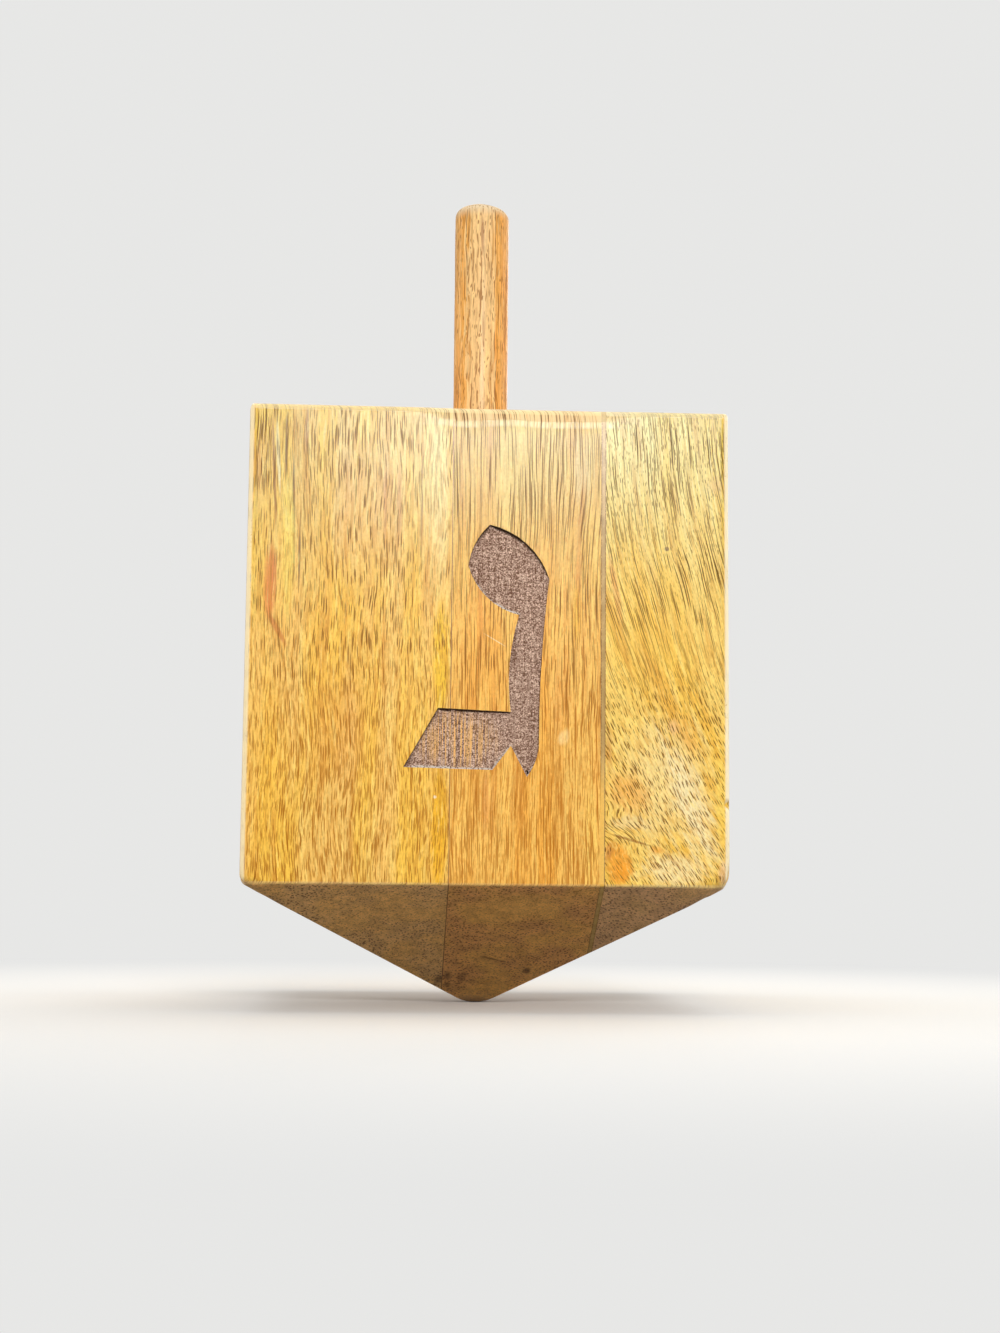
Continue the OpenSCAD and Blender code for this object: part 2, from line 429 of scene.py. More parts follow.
def stave_material(name, look):
    g = Graph(bpy.data.materials.new(name))
    x, y, z = g.position()
    u, v = fibres(g, x, y, z, look)
    seed = look["seed"]

    # Tones that run with the grain, from broad bands down to single fibres
    bands = g.noise(g.vector(u * 0.14 + seed, v * 0.14, z * 0.010), detail=3.0)
    streaks = g.noise(g.vector(u * 0.60, v * 0.60 + seed, z * 0.022), detail=3.0, rough=0.6)
    threads = g.noise(g.vector(u * 1.9 + seed, v * 1.9, z * 0.075), detail=2.0)
    specks = g.noise(g.vector(x * 2.2, y * 2.2, z * 1.7), detail=1.0)
    strokes = g.noise(g.vector(u * 2.9, v * 2.9 + seed, z * 0.55), detail=1.0)
    colour = g.mix(g.ease(bands, 0.40, 0.62), look["base"], look["band"])
    colour = g.mix(g.ease(streaks, 0.52, 0.70) * look["streak_share"], colour, look["streak"])
    colour = g.mix(g.ease(streaks, 0.46, 0.28) * 0.55, colour, look["light"])

    # Patches that the front of this stave shows, with edges drawn out along the grain
    front = g.ease(y, -30.0, -46.0)
    ragged = (streaks - 0.5) * 1.0 + (threads - 0.5) * 0.5
    for tint, share, at, half, slant, soft in look["patches"]:
        mask = g.blob(x, z, ragged * min(1.0, half[0] / 3.0), at, half, slant, soft)
        colour = g.mix(mask * front * share, colour, linear(*tint))
    calm = 0.0
    for share, at, half, slant in look["calm"]:
        calm = g.most(calm, g.blob(x, z, 0.0, at, half, slant, 0.6) * front * share)

    # Fine dashes everywhere, and pores that are crowded in some places
    across, along, low, high = look["dash"]
    dash = g.noise(g.vector(u * across, v * across + seed, z * along), detail=1.0)
    crowding = g.noise(g.vector(u * 0.17 + seed, v * 0.17, z * 0.045), detail=2.0)
    crowd = 0.82 + 0.36 * g.ease(crowding, 0.35, 0.65)
    # Pale dashes between the dark ones, partly lighter fibres and partly painted glints
    pale = g.ease(dash, 0.42, 0.30)
    colour = g.mix(pale * 0.45, colour, look["light"])
    colour = g.scale_colour(colour, 0.88 + 0.15 * g.ease(threads, 0.30, 0.66) + 0.32 * (specks - 0.5))
    stroke_share = look["stroke_share"] * (1.0 - 0.5 * g.ease(z, 80.0, 120.0))
    fine = g.most(g.ease(dash, low, high) * look["dash_share"], g.ease(strokes, 0.54, 0.66) * stroke_share)
    colour = g.mix(fine, colour, look["fine"])
    strip = g.attribute("strip")
    colour = g.mix(strip * 0.75, colour, SANDED)
    dark = 0.0
    stain = 0.0
    for width, length, radius, share, full, none in look["pores"]:
        pore, halo = dashes(g, u + y, z, width, length, radius, seed + length, crowd)
        there = g.ease(z, none, full) * share * (1.0 - calm)
        dark = g.most(dark, pore * there)
        stain = g.most(stain, halo * there)
    colour = g.mix(stain * look["stain_share"], colour, look["fine"])
    colour = g.mix(dark, colour, g.mix(g.ease(z, *PORE_HEIGHTS), look["pore_low"], look["pore"]))

    # Upper tone of the front face, painted shade and haze toward the top, and a painted glint along the ridge
    # under the sanded strip
    flat = g.ease(g.least(g.absolute(x), g.absolute(y)), HALF - 0.9, HALF - 1.6)
    front_face = flat * g.ease(y, 2.5 - HALF, 1.2 - HALF)
    painted_top_light_share = g.ease(z, *PAINTED_LIGHT_HEIGHTS) * (1.0 - strip) * front_face
    colour = g.tint(colour, g.mix(painted_top_light_share, (1.0, 1.0, 1.0, 1.0), look["painted_top_light"]))
    # Painted glint along the ridge below the sanded strip
    colour = g.mix(g.attribute("ridge_glint") * 0.55 * g.ease(threads, 0.30, 0.65), colour, look["rubbed_and_highlight"])

    # End grain on the point and the top takes up more finish, is darker and shows its pores as dots
    point_end = g.ease(z, SHOULDER_Z + 0.1, SHOULDER_Z - 0.5)
    top_end = g.ease(z, TOP_Z - 0.25, TOP_Z - 0.02)
    cut_across = g.most(point_end, top_end)
    cloud = g.noise(g.vector(x * 0.09, y * 0.09, z * 0.09 + seed), detail=4.0)
    end_colour = g.mix(g.ease(cloud, 0.38, 0.62), look["end"], look["end_band"])
    mottle = g.noise(g.vector(x * 0.33 + seed, y * 0.33, z * 0.33), detail=3.0, rough=0.6)
    end_tone = (0.62 + 0.86 * specks) * (0.84 + 0.26 * g.ease(mottle, 0.36, 0.64))
    end_colour = g.scale_colour(end_colour, end_tone)
    dotted = vessels(g, u, v, z, 0.62, 5.0, 0.44, seed) * g.ease(cloud, 0.85, 0.35)
    drawn = vessels(g, u, v, z, 0.43, 30.0, 0.24, seed + 30.0, crowd) * 0.85
    end_colour = g.mix(g.most(drawn, dotted) * 0.8, end_colour, look["end_pore"])
    for tint, share, at, half, slant in look["stains"]:
        mask = g.blob(x, z, (mottle - 0.5) * 2.0, at, half, slant, 0.8) * g.ease(y, -0.5, -2.5)
        end_colour = g.mix(mask * share, end_colour, linear(*tint))
    colour = g.mix(cut_across, colour, end_colour)

    # Edges are rubbed pale, and painted paler still as a highlight where the rounding turns from the light
    upright = g.ease(g.least(g.absolute(x), g.absolute(y)), HALF - 1.25, HALF - 0.75)
    around = g.ease(g.most(g.absolute(x), g.absolute(y)), HALF - 2.0, HALF - 1.0)
    top_edge_rub_and_highlight = g.ease(z, TOP_Z - 1.4, TOP_Z - 1.05) * 0.55
    shoulder_rub_and_highlight = g.ease(g.absolute(z - SHOULDER_Z), 0.5, 0.1) * 0.25
    level = g.most(top_edge_rub_and_highlight, shoulder_rub_and_highlight)
    arris = g.most(upright * (1.0 - cut_across), level * around)
    colour = g.mix(arris * 0.85 * g.ease(streaks + specks, 0.50, 0.85), colour, look["rubbed_and_highlight"])

    colour, floor, dots = engraved(g, x, y, z, colour, dark)
    roughness = 0.46 + 0.20 * dark + 0.14 * (specks - 0.5) + 0.20 * cut_across + 0.35 * floor
    height = 0.5 - 0.5 * dark + 0.12 * threads + 0.05 * specks + floor * 0.6 * (dots - 0.5)
    varnish = STAVE_VARNISH * (1.0 - floor) * (1.0 - 0.8 * cut_across) * (1.0 - 0.9 * dark)
    return g.finish(colour, roughness, height, STAVE_BUMP, varnish)


# Each stave's look. Places are x and z on the front, and slants are x per z.
# lean: how the fibres lean sideways with the drop from the top, and how that grows
# dive: how they run into the depth, the drop at which they turn more, and how that grows
# wander: width and height of the waves, and how far they carry the fibres; depth: the share of it in depth
# swirls: place, half sizes and turn of the grain
# dash: frequency across and along the grain, and the tones between which a fine dash comes in
# pores: width, length, radius, share, and the heights at which they are all there and gone
# calm: share, place, half sizes and slant of patches with fewer pores
# patches: tint, share, place, half sizes, slant and softness; stains: the same on the front facet
# painted_top_light: painted shade and haze on the upper front, multiplied into the colour
# rubbed: pale colour of rubbed edges, also used as their painted highlight and as the ridge's painted glint
LEFT_LOOK = {
    "seed": 3.1,
    "lean": (0.0, 0.0),
    "dive": (0.015, 100.0, 0.0),
    "wander": [(26.0, 60.0, 6.0), (8.0, 20.0, 1.7)],
    "depth": 0.8,
    "swirls": [],
    "base": linear(244, 196, 100),
    "band": linear(247, 196, 70),
    "streak": linear(215, 144, 42),
    "streak_share": 0.55,
    "light": linear(255, 224, 124),
    "dash": (2.4, 0.115, 0.56, 0.64),
    "dash_share": 0.45,
    "stroke_share": 0.50,
    "fine": linear(204, 134, 20),
    "pores": [
        (0.43, 7.0, 0.22, 1.00, 0.0, 400.0),
        (0.41, 4.2, 0.20, 0.85, 35.0, 110.0),
        (0.48, 16.0, 0.18, 1.00, 125.0, 85.0),
    ],
    "pore": linear(92, 50, 0),
    "pore_low": linear(168, 101, 6),
    "stain_share": 0.45,
    "calm": [
        (0.6, (-45.0, 87.0), (1.6, 9.0), 0.0),
        (0.40, (-41.2, 100.0), (3.8, 30.0), 0.0),
        (0.45, (-11.5, 105.0), (3.6, 26.0), 0.0),
    ],
    "painted_top_light": (0.82, 0.93, 1.03, 1.0),
    "rubbed_and_highlight": linear(254, 236, 190),
    "end": linear(212, 166, 108),
    "end_band": linear(218, 168, 100),
    "end_pore": linear(84, 56, 26),
    "stains": [((78, 52, 26), 0.65, (-8.6, 5.2), (1.5, 2.4), 0.0)],
    "patches": [
        # Pale line beside the dark vein: a painted highlight
        ((252, 238, 186), 0.60, (-43.9, 114.0), (0.5, 10.0), -0.06, 0.6),
        ((150, 96, 50), 0.75, (-44.7, 111.0), (0.4, 15.5), -0.05, 0.6),
        ((222, 130, 56), 0.95, (-45.2, 87.5), (1.7, 9.4), 0.0, 0.5),
        ((206, 124, 56), 0.80, (-43.4, 77.6), (0.9, 4.6), -0.55, 0.6),
        ((116, 86, 36), 0.90, (-42.3, 116.0), (0.34, 9.0), 0.0, 0.5),
        ((110, 80, 34), 0.95, (-40.5, 101.0), (0.36, 16.0), -0.02, 0.4),
        ((126, 90, 40), 0.85, (-39.2, 93.0), (0.32, 9.0), 0.0, 0.5),
        ((156, 100, 66), 0.65, (-38.1, 119.5), (0.5, 6.5), 0.0, 0.6),
        ((202, 124, 62), 0.65, (-21.7, 105.0), (0.6, 14.0), 0.0, 0.8),
        ((206, 130, 64), 0.55, (-18.8, 104.0), (0.9, 14.0), 0.0, 0.8),
        ((150, 98, 46), 0.65, (-14.1, 106.0), (0.4, 19.0), 0.0, 0.8),
        ((236, 180, 112), 0.45, (-27.0, 104.0), (11.0, 24.0), 0.0, 0.9),
        ((246, 200, 76), 0.60, (-47.5, 92.0), (2.5, 18.0), 0.0, 0.7),
        ((248, 212, 92), 0.85, (-41.5, 94.0), (1.9, 19.0), 0.0, 0.7),
        ((254, 228, 150), 0.65, (-10.8, 108.0), (3.2, 26.0), 0.0, 0.7),
        ((246, 196, 36), 0.95, (-9.8, 72.0), (2.6, 15.0), 0.0, 0.6),
        ((240, 180, 24), 0.95, (-9.9, 37.0), (2.6, 17.0), 0.0, 0.6),
        ((248, 192, 62), 0.50, (-45.0, 50.0), (6.0, 26.0), 0.0, 0.8),
        ((228, 158, 72), 0.45, (-30.2, 58.0), (9.0, 18.0), 0.0, 0.9),
        ((226, 156, 76), 0.45, (-48.0, 112.0), (3.0, 9.0), 0.0, 0.8),
        ((255, 242, 206), 0.90, (-10.7, 43.7), (0.45, 0.40), 0.0, 0.5),
    ],
}
MIDDLE_LOOK = {
    "seed": 11.7,
    "lean": (0.0, 0.0),
    "dive": (0.010, 100.0, 0.0),
    "wander": [(34.0, 80.0, 5.0), (9.0, 26.0, 1.5)],
    "depth": 0.35,
    "swirls": [],
    "base": linear(246, 194, 92),
    "band": linear(242, 174, 64),
    "streak": linear(218, 138, 44),
    "streak_share": 0.55,
    "light": linear(254, 212, 108),
    "dash": (2.6, 0.050, 0.57, 0.63),
    "dash_share": 0.24,
    "stroke_share": 0.50,
    "fine": linear(210, 130, 18),
    "pores": [
        (0.50, 22.0, 0.18, 1.00, 0.0, 400.0),
        (0.44, 9.0, 0.19, 0.80, 60.0, 118.0),
        (0.42, 5.0, 0.18, 0.65, 30.0, 90.0),
        (0.46, 38.0, 0.17, 0.90, 0.0, 400.0),
        (0.52, 34.0, 0.18, 1.00, 120.0, 75.0),
    ],
    "pore": linear(76, 38, 0),
    "pore_low": linear(176, 104, 6),
    "stain_share": 0.45,
    "calm": [(0.7, (15.6, 56.2), (1.8, 2.4), 0.2)],
    "painted_top_light": (0.72, 0.89, 0.88, 1.0),
    "rubbed_and_highlight": linear(252, 228, 172),
    "end": linear(204, 148, 88),
    "end_band": linear(216, 162, 88),
    "end_pore": linear(88, 54, 22),
    "stains": [
        ((190, 146, 100), 0.60, (0.0, 0.6), (6.5, 2.4), 0.0),
        ((78, 50, 26), 0.60, (-6.4, 5.4), (1.2, 2.4), 0.0),
        ((84, 54, 28), 0.60, (-3.4, 5.6), (1.5, 2.2), 0.2),
        ((70, 44, 22), 0.75, (10.8, 7.3), (1.4, 1.0), 0.0),
        ((72, 46, 24), 0.70, (3.0, 10.2), (1.3, 0.9), -4.0),
    ],
    "patches": [
        ((246, 190, 56), 0.70, (18.2, 82.0), (1.4, 9.0), 0.0, 0.7),
        ((222, 134, 58), 0.50, (-0.3, 43.0), (1.8, 10.0), 0.0, 0.8),
        ((224, 148, 58), 0.45, (14.8, 64.0), (3.4, 18.0), 0.0, 0.9),
        ((240, 206, 140), 0.50, (19.0, 112.0), (3.0, 10.0), 0.0, 0.8),
        ((252, 228, 168), 0.80, (1.3, 76.1), (0.30, 1.7), -1.69, 0.6),
        ((248, 214, 140), 0.75, (15.6, 56.2), (1.5, 2.2), 0.2, 0.6),
        ((250, 206, 96), 0.60, (21.4, 36.0), (2.0, 14.0), 0.0, 0.7),
    ],
}
RIGHT_LOOK = {
    "seed": 23.9,
    "lean": (0.04, 0.0029),
    "dive": (0.008, 42.0, 0.0026),
    "wander": [(22.0, 48.0, 4.5), (6.0, 18.0, 0.9)],
    "depth": 0.25,
    "swirls": [((26.5, 37.0), (7.5, 5.5), 0.9)],
    "base": linear(245, 207, 102),
    "band": linear(242, 194, 70),
    "streak": linear(216, 154, 40),
    "streak_share": 0.50,
    "light": linear(252, 224, 122),
    "dash": (2.2, 0.080, 0.57, 0.65),
    "dash_share": 0.45,
    "stroke_share": 0.35,
    "fine": linear(206, 142, 22),
    "pores": [
        (0.46, 2.8, 0.24, 1.00, 60.0, 82.0),
        (0.50, 24.0, 0.19, 1.00, 85.0, 50.0),
        (0.46, 12.0, 0.18, 0.90, 85.0, 48.0),
        (0.44, 2.4, 0.19, 0.75, 110.0, 60.0),
    ],
    "pore": linear(98, 60, 2),
    "pore_low": linear(112, 68, 6),
    "stain_share": 0.25,
    "calm": [(0.35, (27.2, 30.0), (3.4, 5.4), 0.0)],
    "painted_top_light": (0.79, 0.97, 1.40, 1.0),
    "rubbed_and_highlight": linear(254, 240, 200),
    "end": linear(202, 158, 112),
    "end_band": linear(208, 164, 108),
    "end_pore": linear(92, 66, 38),
    "stains": [],
    "patches": [
        ((244, 218, 146), 0.75, (36.0, 47.0), (13.0, 18.0), 0.0, 0.8),
        ((248, 232, 180), 0.80, (41.8, 43.0), (4.8, 17.0), -0.33, 0.8),
        ((247, 224, 160), 0.90, (39.0, 29.5), (9.5, 4.8), 0.0, 0.7),
        ((250, 216, 96), 0.60, (48.3, 46.0), (1.8, 13.0), 0.0, 0.7),
        ((240, 178, 84), 0.80, (29.0, 45.0), (6.0, 5.5), -0.2, 0.7),
        ((206, 140, 62), 0.60, (24.9, 53.0), (1.1, 7.0), 0.0, 0.8),
        ((240, 212, 144), 0.80, (29.5, 38.8), (6.0, 2.0), 0.0, 0.6),
        ((240, 160, 40), 0.90, (27.2, 30.4), (3.0, 4.9), 0.0, 0.45),
        ((248, 158, 14), 0.80, (27.6, 29.0), (1.7, 3.0), 0.0, 0.8),
        ((200, 120, 44), 0.75, (24.9, 33.0), (1.3, 3.4), 0.2, 0.7),
        ((236, 160, 50), 0.70, (34.9, 33.4), (1.8, 1.0), -0.6, 0.7),
        ((150, 92, 36), 0.75, (29.3, 35.4), (1.3, 1.6), -3.4, 0.6),
        ((176, 120, 60), 0.50, (38.2, 31.3), (0.7, 2.4), -0.93, 0.7),
        ((246, 206, 160), 0.75, (48.7, 28.6), (1.8, 3.4), 0.0, 0.7),
        ((238, 178, 74), 0.60, (41.6, 57.0), (2.2, 5.5), -0.2, 0.7),
        ((240, 196, 150), 0.60, (38.3, 58.7), (1.6, 2.4), 0.0, 0.8),
        ((228, 164, 50), 0.50, (36.5, 65.0), (2.8, 15.0), -0.45, 0.8),
        ((224, 146, 58), 0.65, (26.2, 87.0), (1.0, 10.0), -0.17, 0.7),
        ((118, 88, 50), 0.90, (36.9, 95.8), (0.6, 0.6), 0.0, 0.5),
        ((226, 164, 76), 0.50, (47.3, 109.3), (3.0, 3.0), 0.0, 0.8),
    ],
}


def glue_material(name, middle, half, dark, light, edge, low, end_shade):
    """Cured glue: uneven in tone, darker where it meets the wood, and stained like the wood lower down."""
    g = Graph(bpy.data.materials.new(name))
    x, y, z = g.position()
    uneven = g.noise(g.vector(x * 0.4, y * 0.4, z * 0.22), detail=4.0, rough=0.65)
    grains = g.noise(g.vector(x * 3.0, y * 3.0, z * 2.0), detail=2.0)
    colour = g.mix(g.ease(uneven, 0.35, 0.65), dark, light)
    rim = g.ease(g.absolute(x - middle), half * 0.45, half * 0.9)
    colour = g.mix(rim * g.ease(grains, 0.35, 0.55), colour, edge)
    end = g.ease(z, SHOULDER_Z + 0.1, SHOULDER_Z - 0.5)
    beside = g.ease(x - middle, half * 0.85, half * 0.35)
    colour = g.mix(g.ease(z, 54.0, 42.0) * beside * (1.0 - end) * 0.9, colour, low)
    colour = g.mix(g.attribute("strip") * 0.6, colour, SANDED)
    colour = g.scale_colour(colour, (0.85 + 0.3 * grains) * (1.0 - end_shade * end))
    colour, floor, dots = engraved(g, x, y, z, colour, rim * 0.3)
    varnish = GLUE_VARNISH * (1.0 - floor) * (1.0 - end)
    height = 0.5 * grains + floor * 0.3 * dots
    return g.finish(colour, 0.45 + 0.2 * grains, height, GLUE_BUMP, varnish)


def handle_material():
    g = Graph(bpy.data.materials.new("handle_wood"))
    x, y, z = g.position()
    across, deep = g.wander(g.vector(x * 0.26, y * 0.26, z * 0.10))
    u = x + across * 1.8
    v = y + deep * 1.8
    bands = g.noise(g.vector(u * 0.35, v * 0.35, z * 0.015), detail=3.0)
    streaks = g.noise(g.vector(u * 1.7, v * 1.7, z * 0.060), detail=1.0)
    threads = g.noise(g.vector(u * 2.2, v * 2.2, z * 0.10), detail=2.0)
    specks = g.noise(g.vector(x * 2.2, y * 2.2, z * 1.7), detail=1.0)
    colour = g.mix(g.ease(bands, 0.38, 0.62), linear(235, 162, 69), linear(236, 172, 84))
    # Pale strip down the front of the dowel: a painted highlight
    painted_front_highlight = g.ease(g.absolute(x + 0.3) + (streaks - 0.5) * 5.0, 4.2, 2.6) * g.ease(y, 0.0, -3.0)
    colour = g.mix(painted_front_highlight * 0.80, colour, linear(241, 206, 147))
    colour = g.mix(g.ease(streaks, 0.46, 0.30) * 0.6, colour, linear(252, 216, 146))
    colour = g.scale_colour(colour, 0.82 + 0.24 * g.ease(threads, 0.30, 0.66) + 0.18 * (specks - 0.5))
    line = g.ease(streaks, 0.58, 0.66)
    fleck = g.most(vessels(g, u, v, z, 0.55, 24.0, 0.34, 0.0), vessels(g, u, v, z, 0.55, 7.0, 0.30, 3.0))
    fleck = g.most(fleck, vessels(g, u + 1.6 * across, v, z, 0.50, 2.6, 0.27, 7.0))
    dark = g.most(line * 0.35, fleck * 0.75)
    colour = g.mix(dark, colour, linear(140, 84, 34))
    vein = g.blob(x, z, (threads - 0.5) * 0.8, (-0.2, 177.0), (0.55, 6.5), 0.0, 0.6) * g.ease(y, 0.0, -3.0)
    colour = g.mix(vein * 0.6, colour, linear(158, 108, 66))
    end = g.ease(z, HANDLE_TOP - 3.6, HANDLE_TOP - 0.8)
    colour = g.mix(end * 0.8, colour, g.mix(dark, linear(222, 202, 168), linear(172, 128, 86)))
    roughness = 0.55 + 0.2 * dark + 0.15 * end
    height = 0.5 - 0.5 * dark + 0.15 * threads
    return g.finish(colour, roughness, height, HANDLE_BUMP, HANDLE_VARNISH * (1.0 - dark))


# Pieces

SHARP_ANGLE = math.radians(32.0)
# How near a face has to be to a letter's floor, and the width of the border on that floor
FLOOR_WITHIN = 0.02
RIM_WIDTH = 0.85
# Distances from an outer face, in millimetres, at which the mesh is cut more finely
EDGE_CUTS = (0.25, 0.5, 0.8, 1.15, 1.6, 2.1, 2.7, 3.4, 4.2, 5.2, 6.5)
GRID_STEP = 2.5
FACE_STEP = 5.0
# Middle of the sanded strip along the top edge, how far it steps back, and its slope
SANDED_MIDDLE = 8.0
SANDED_STEP = 0.10
SANDED_SLOPE = 0.12
# Rise of a facet over its run
FACET_SLOPE = 0.5435
# Rounding of the lower corners on each side, how far a point rises as it moves in,
# and the steps that find its place
LEFT_CORNER_R = 1.6
RIGHT_CORNER_R = 2.3
CORNER_LIFT = 0.6
CORNER_STEPS = 14
HOLLOW_DEPTH = 0.07
LEAST_WEAR = 0.04
MORE_WEAR = 0.26
# Nick in the right front edge
NICK_Z = 42.75
NICK_DEPTH = 0.9
NICK_CUTS = [NICK_Z + 0.4 * i for i in range(-5, 6)]
STRIP_CUTS = [TOP_Z - 1.85 - 0.3 * i for i in range(10)]


def cut_heights(axis, low, high):
    """Where the mesh is cut across an axis, in millimetres."""
    if axis == 2:
        cuts = [low + FACE_STEP * i for i in range(1, int((high - low) / FACE_STEP) + 1)]
        cuts += [TOP_Z - d for d in EDGE_CUTS] + [SHOULDER_Z + d for d in EDGE_CUTS[:8]] + NICK_CUTS
        cuts += STRIP_CUTS
        cuts += [SHOULDER_Z - d for d in EDGE_CUTS[:6]]
    else:
        cuts = [GRID_STEP * i for i in range(int(-HALF / GRID_STEP), int(HALF / GRID_STEP) + 1)]
        cuts += [side * (HALF - d) for d in EDGE_CUTS[:8] for side in (-1.0, 1.0)]
    return sorted(at for at in cuts if low + 0.05 < at < high - 0.05)


def letter_floors(bm):
    """Faces that are the floor of an engraved letter, each with the axis that it looks along."""
    found = {}
    for face in bm.faces:
        middle = face.calc_center_median() / MM
        for axis in (0, 1):
            if abs(face.normal[axis]) > 0.99 and abs(abs(middle[axis]) - HALF + LETTER_DEPTH) < FLOOR_WITHIN:
                found[face] = axis
    return found


def border_floors(bm, low, high):
    """Gives the floors of the letters a narrow border, unless the piece is a thin film of glue."""
    floors = letter_floors(bm)
    if floors and high.x - low.x > 4.0 * RIM_WIDTH * MM:
        bmesh.ops.inset_region(
            bm, faces=list(floors), thickness=RIM_WIDTH * MM, use_even_offset=True, use_boundary=True
        )
        bm.normal_update()


def rim_ends(bm, low, high):
    """Heights at which the border ends on a glue joint that crosses a letter, in millimetres."""
    corners = set()
    for face in letter_floors(bm):
        corners.update(vert for vert in face.verts if min(vert.co.x - low.x, high.x - vert.co.x) < 1e-6)
    heights = {round(vert.co.z / MM, 3) for vert in corners}
    return [at + side for at in heights for side in (-RIM_WIDTH, RIM_WIDTH)]


def mark_rims(bm):
    """Marks the outer points of the letters' floors by the wall beside them:
    1 along a lower edge, whose wall looks up, and -1 along an upper edge."""
    rim = bm.verts.layers.float.new("rim")
    floors = letter_floors(bm)
    deepest = (HALF - LETTER_DEPTH - FLOOR_WITHIN) * MM
    walls = {}
    for face, axis in floors.items():
        for edge in face.edges:
            for other in edge.link_faces:
                shallow = all(abs(vert.co[axis]) > deepest for vert in other.verts)
                if other not in floors and shallow:
                    for vert in edge.verts:
                        walls.setdefault(vert, []).append(other.normal.z)
    for vert, looks in walls.items():
        vert[rim] = sum(looks) / len(looks)


def patchy(x, y, z, size, seed):
    """Smooth noise between 0 and 1 with hills about that far apart."""
    return 0.5 + 0.5 * max(-1.0, min(1.0, noise.noise(Vector((x / size + seed, y / size, z / size)))))


def fade(value, full, none):
    """1 at full, 0 at none, eased between."""
    t = max(0.0, min(1.0, (none - value) / (none - full)))
    return t * t * (3.0 - 2.0 * t)


def corner_shift(inset_x, inset_y, rise, largest):
    """How far a point by a lower corner moves in, so that two faces and two facets meet in one round form.
    The rounding is largest at the corner and dies out along the edges."""
    radius = largest * fade(max(inset_x, inset_y, abs(rise)), 1.5, 8.0)
    low, high = 0.0, radius
    for _ in range(CORNER_STEPS):
        shift = (low + high) / 2.0
        sides = [inset_x + shift, inset_y + shift]
        height = rise + CORNER_LIFT * shift
        depths = sides + [(height + FACET_SLOPE * side) / math.hypot(1.0, FACET_SLOPE) for side in sides]
        reach = math.sqrt(sum(max(0.0, radius - depth) ** 2 for depth in depths))
        if reach > radius + 1e-4:
            low = shift
        else:
            high = shift
    return high if low > 0.0 else 0.0


def top_edge(side):
    """How far down the hand-sanded strip under the top edge reaches at a place along it,
    and how strongly it shows."""
    reach = 2.0 + 1.4 * patchy(side, 0.0, 0.0, 9.0, 4.0)
    return reach, fade(abs(side - SANDED_MIDDLE), 14.0, 24.0)


def mark_top_edge(bm):
    """Marks the points of the faces by how far they belong to the sanded strip,
    and to the ridge below it, which takes a painted glint."""
    strip = bm.verts.layers.float.new("strip")
    ridge_glint = bm.verts.layers.float.new("ridge_glint")
    for vert in bm.verts:
        x, y, z = vert.co / MM
        for out, side in ((x, y), (y, x)):
            if abs(out) > HALF - 1.0:
                reach, share = top_edge(side)
                below = TOP_Z - z - reach
                vert[strip] = max(vert[strip], share * fade(below, -0.2, 0.2))
                vert[ridge_glint] = max(vert[ridge_glint], share * fade(abs(below - 0.6), 0.3, 1.0))


def sanded(drop, side):
    """How far the surface under the top edge falls back,
    by the distance below the top and a place along the edge."""
    reach, share = top_edge(side)
    if drop < reach:
        return share * (SANDED_STEP + SANDED_SLOPE * (reach - drop))
    return share * SANDED_STEP * fade(drop, reach, reach + 4.0)


def worn(point):
    """A point of the block after sanding and wear. Everything moves inwards, so the block grows nowhere."""
    x, y, z = point / MM
    across = [x, y]
    inset = [HALF - abs(x), HALF - abs(y)]
    moved = [0.0, 0.0]
    drop = TOP_Z - z
    for axis in (0, 1):
        skin = fade(inset[axis], 1.2, 5.0)
        if skin == 0.0:
            continue
        side = across[1 - axis]
        if z > SHOULDER_Z:
            moved[axis] += skin * sanded(drop, side)
            hollow = patchy(x, y, z, 21.0, 9.0) * fade(abs(side), HALF - 6.0, HALF - 1.0)
            moved[axis] += skin * HOLLOW_DEPTH * hollow * fade(SHOULDER_Z + 5.0 - z, 0.0, 5.0)
    largest = RIGHT_CORNER_R if x > 0.0 else LEFT_CORNER_R
    corner = corner_shift(inset[0], inset[1], z - SHOULDER_Z, largest)
    for axis in (0, 1):
        moved[axis] += corner
    beside = fade(inset[0], 0.0, 1.6) * fade(inset[1], 0.0, 1.6)
    if beside > 0.0:
        wear = LEAST_WEAR + MORE_WEAR * patchy(x, y, z, 5.0, 1.0) ** 2
        if x > 0.0 and y < 0.0:
            wear += NICK_DEPTH * fade(abs(z - NICK_Z), 0.0, 1.3)
        for axis in (0, 1):
            moved[axis] += wear * beside
    shift = Vector((-math.copysign(moved[0], x), -math.copysign(moved[1], y), CORNER_LIFT * corner))
    return point + shift * MM


def worked_copy(node):
    """A new mesh with the CAD node's shape, cut into a fine grid and worn like the real block."""
    bm = bmesh.new()
    bm.from_mesh(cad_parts[node].data)
    bmesh.ops.remove_doubles(bm, verts=bm.verts, dist=1e-6)
    bmesh.ops.dissolve_limit(bm, angle_limit=math.radians(0.3), verts=bm.verts, edges=bm.edges)
    bm.normal_update()
    low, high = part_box(node)
    border_floors(bm, low, high)
    ends = rim_ends(bm, low, high)
    for axis in range(3):
        normal = Vector((0.0, 0.0, 0.0))
        normal[axis] = 1.0
        for at in cut_heights(axis, low[axis] / MM, high[axis] / MM) + (ends if axis == 2 else []):
            geometry = bm.verts[:] + bm.edges[:] + bm.faces[:]
            bmesh.ops.bisect_plane(bm, geom=geometry, dist=1e-7, plane_co=normal * at * MM, plane_no=normal)
    bm.normal_update()
    mark_rims(bm)
    mark_top_edge(bm)
    for vert in bm.verts:
        vert.co = worn(vert.co)
    return bm


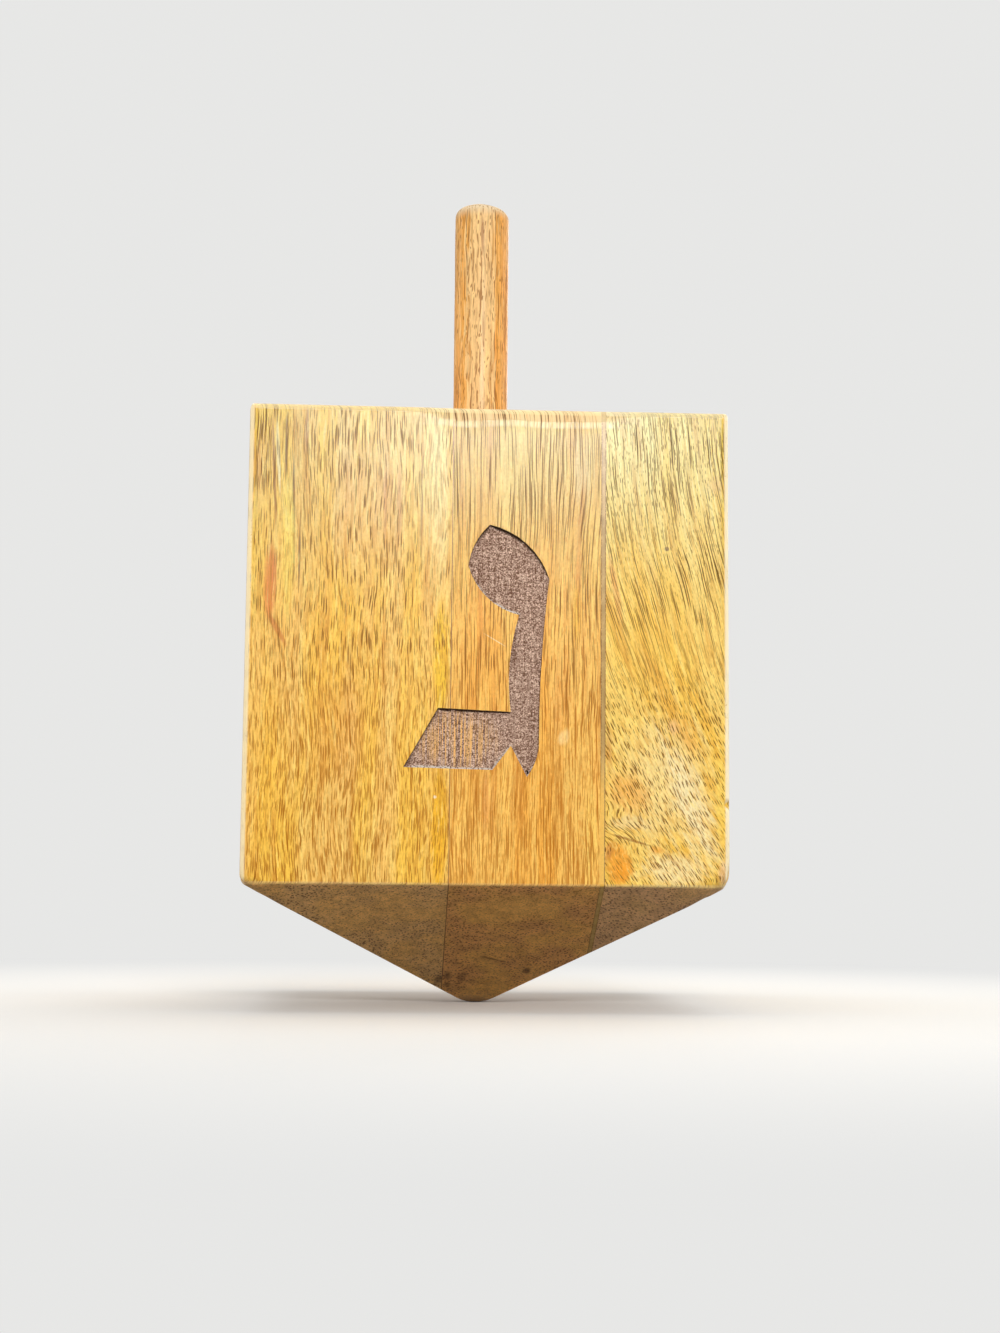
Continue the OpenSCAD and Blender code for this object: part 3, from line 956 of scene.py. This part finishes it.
def add_piece(name, bm, material, node):
    mesh = bpy.data.meshes.new(name)
    bm.normal_update()
    for face in bm.faces:
        face.smooth = True
    for edge in bm.edges:
        edge.smooth = len(edge.link_faces) == 2 and edge.calc_face_angle() < SHARP_ANGLE
    bm.to_mesh(mesh)
    bm.free()
    piece = bpy.data.objects.new(name, mesh)
    bpy.context.scene.collection.objects.link(piece)
    mesh.materials.append(material)
    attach(piece, "root")
    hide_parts(node)


def handle_mesh():
    """The dowel with its tenon, hand-rounded at the free end a little lower on one side."""
    rings = 48
    end_rings = 10
    sides = 96
    straight = HANDLE_TOP - HANDLE_END_R
    profile = [
        (0.0, TENON_BOTTOM),
        (TENON_R - TENON_CHAMFER, TENON_BOTTOM),
        (TENON_R, TENON_BOTTOM + TENON_CHAMFER),
        (TENON_R, TOP_Z),
    ]
    profile += [(HANDLE_R, TOP_Z + (straight - TOP_Z) * i / rings) for i in range(rings + 1)]
    for i in range(1, end_rings + 1):
        a = math.radians(90.0 * i / end_rings)
        inwards = HANDLE_END_R * (1.0 - math.cos(a))
        profile.append((HANDLE_R - inwards, straight + HANDLE_END_R * math.sin(a)))
    profile += [(HANDLE_R * 0.4, HANDLE_TOP), (0.0, HANDLE_TOP)]
    bm = bmesh.new()
    loops = []
    for radius, z in profile:
        ring = []
        for i in range(sides if radius > 0.0 else 1):
            a = 2.0 * math.pi * i / sides
            x, y = radius * math.cos(a), radius * math.sin(a)
            near_end = fade(HANDLE_TOP - z, 0.0, 7.0)
            slope = 0.5 * near_end * (x / HANDLE_R + 0.4 * patchy(x, y, 0.0, 3.0, 2.0))
            hollow = 1.0 - 0.012 * patchy(x, y, z, 9.0, 6.0) * fade(TOP_Z - z, -3.0, 0.0)
            ring.append(bm.verts.new((x * hollow * MM, y * hollow * MM, (z - max(0.0, slope)) * MM)))
        loops.append(ring)
    for low, high in zip(loops, loops[1:]):
        for i in range(sides):
            j = (i + 1) % sides
            if len(low) == 1:
                bm.faces.new((low[0], high[j], high[i]))
            elif len(high) == 1:
                bm.faces.new((low[i], low[j], high[0]))
            else:
                bm.faces.new((low[i], low[j], high[j], high[i]))
    return bm


make_camera()
make_world()
for lamp_name, lamp_at, lamp_size, lamp_power, lamp_colour in LAMPS:
    make_lamp(lamp_name, lamp_at, lamp_size, lamp_power, lamp_colour)
make_floor()

left_glue_half = LEFT_JOINT_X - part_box("left_glue_line")[0].x / MM
right_glue_half = RIGHT_JOINT_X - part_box("right_glue_line")[0].x / MM
left_glue = glue_material(
    "left_glue",
    LEFT_JOINT_X,
    left_glue_half,
    dark=linear(120, 78, 36),
    light=linear(184, 134, 76),
    edge=linear(140, 96, 48),
    low=linear(168, 122, 60),
    end_shade=0.45,
)
right_glue = glue_material(
    "right_glue",
    RIGHT_JOINT_X,
    right_glue_half,
    dark=linear(170, 136, 74),
    light=linear(196, 160, 94),
    edge=linear(124, 87, 40),
    low=linear(240, 188, 84),
    end_shade=0.1,
)
STAVE_LOOKS = [("left_stave", LEFT_LOOK), ("middle_stave", MIDDLE_LOOK), ("right_stave", RIGHT_LOOK)]
for stave, stave_look in STAVE_LOOKS:
    wood = stave + "_wood"
    add_piece(wood, worked_copy(stave), stave_material(wood, stave_look), stave)
add_piece("left_glue", worked_copy("left_glue_line"), left_glue, "left_glue_line")
add_piece("right_glue", worked_copy("right_glue_line"), right_glue, "right_glue_line")
add_piece("handle_turned", handle_mesh(), handle_material(), "handle_dowel")

bpy.context.scene.view_settings.view_transform = "Standard"
